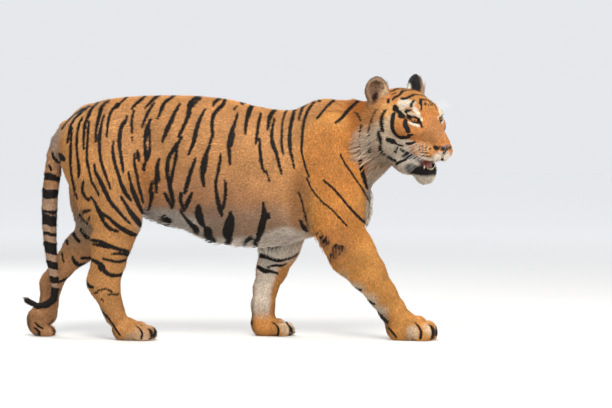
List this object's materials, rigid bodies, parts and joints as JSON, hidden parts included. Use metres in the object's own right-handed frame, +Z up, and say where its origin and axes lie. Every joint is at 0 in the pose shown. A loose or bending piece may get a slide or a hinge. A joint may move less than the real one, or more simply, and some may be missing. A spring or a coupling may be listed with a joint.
{
  "type": "bengal tiger",
  "caption": "Life-size walking Bengal tiger with its head turned to the right and its mouth a little open, standing on all paws.",
  "frame": {"origin": "the middle of the model's box, on the floor under the soles", "axes": "+X forward from tail to head, +Y to the animal's left, +Z up"},
  "size_m": [1.7166, 0.4486, 1.0524],
  "materials": {
    "coat": "short orange fur with black stripes and a white underside",
    "nose": "fine-grained, slightly moist pink-brown skin",
    "tongue": "moist pink, rough with small papillae",
    "tooth": "smooth ivory enamel",
    "claw": "smooth horn, darker at the root",
    "eye": "wet amber iris with a round black pupil"
  },
  "bodies": {
    "root": {"trunk": "coat", "neck": "coat", "head": "coat", "lower_jaw": "coat", "nose": "nose", "tongue": "tongue", "ear_right": "coat", "eye_right": "eye", "upper_canine_right": "tooth", "lower_canine_right": "tooth", "ear_left": "coat", "eye_left": "eye", "upper_canine_left": "tooth", "lower_canine_left": "tooth", "forearm_right": "coat", "forepaw_right": "coat", "claw_fore_right_1": "claw", "claw_fore_right_2": "claw", "claw_fore_right_3": "claw", "claw_fore_right_4": "claw", "forearm_left": "coat", "forepaw_left": "coat", "claw_fore_left_1": "claw", "claw_fore_left_2": "claw", "claw_fore_left_3": "claw", "claw_fore_left_4": "claw", "thigh_right": "coat", "shank_right": "coat", "hindpaw_right": "coat", "claw_hind_right_1": "claw", "claw_hind_right_2": "claw", "claw_hind_right_3": "claw", "claw_hind_right_4": "claw", "thigh_left": "coat", "shank_left": "coat", "hindpaw_left": "coat", "claw_hind_left_1": "claw", "claw_hind_left_2": "claw", "claw_hind_left_3": "claw", "claw_hind_left_4": "claw", "tail_base": "coat", "tail_middle": "coat", "tail_tip": "coat"}
  },
  "joints": []
}
